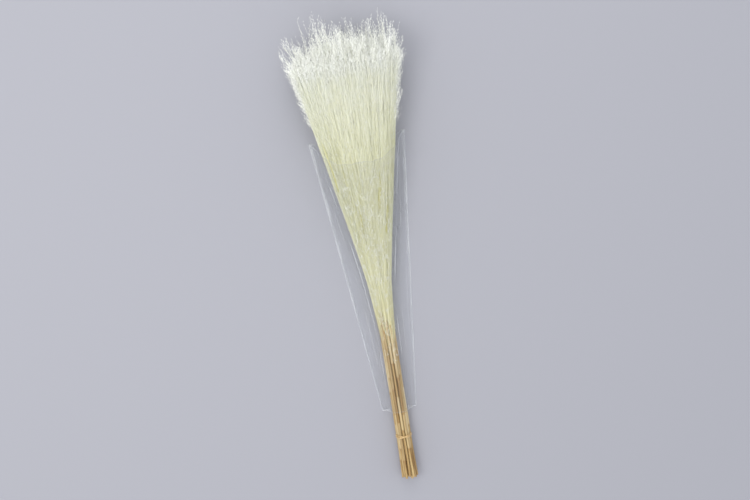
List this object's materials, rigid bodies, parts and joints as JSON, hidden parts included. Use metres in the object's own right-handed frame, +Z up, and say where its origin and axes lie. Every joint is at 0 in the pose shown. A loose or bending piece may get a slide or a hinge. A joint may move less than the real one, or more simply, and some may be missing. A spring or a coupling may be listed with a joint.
{
  "type": "bundle of dried silver grass",
  "caption": "Tied bundle of bleached dried silver grass lying on its side: straw stems opening into one dense cone of fine plumes, in a tapered clear film sleeve.",
  "frame": {"origin": "on the surface that the bundle lies on, under the middle of its bounding box", "axes": "+Y along the bundle from the cut ends to the plume tips, +Z up from the surface, +X sideways"},
  "size_m": [0.1788, 0.8, 0.1035],
  "materials": {
    "straw": "satin",
    "plume_hair": "matte",
    "rubber": "matte",
    "clear_film": "gloss"
  },
  "bodies": {
    "root": {"stem_01": "straw", "stem_02": "straw", "stem_03": "straw", "stem_04": "straw", "stem_05": "straw", "stem_06": "straw", "stem_07": "straw", "stem_08": "straw", "stem_09": "straw", "stem_10": "straw", "stem_11": "straw", "stem_12": "straw", "stem_13": "straw", "stem_14": "straw", "stem_15": "straw", "stem_16": "straw", "stem_17": "straw", "stem_18": "straw", "stem_19": "straw", "plume_01": "plume_hair", "plume_02": "plume_hair", "plume_03": "plume_hair", "plume_04": "plume_hair", "plume_05": "plume_hair", "plume_06": "plume_hair", "plume_07": "plume_hair", "plume_08": "plume_hair", "plume_09": "plume_hair", "plume_10": "plume_hair", "plume_11": "plume_hair", "plume_12": "plume_hair", "plume_13": "plume_hair", "plume_14": "plume_hair", "plume_15": "plume_hair", "plume_16": "plume_hair", "plume_17": "plume_hair", "plume_18": "plume_hair", "plume_19": "plume_hair", "tie_band": "rubber", "sleeve": "clear_film"}
  },
  "joints": []
}
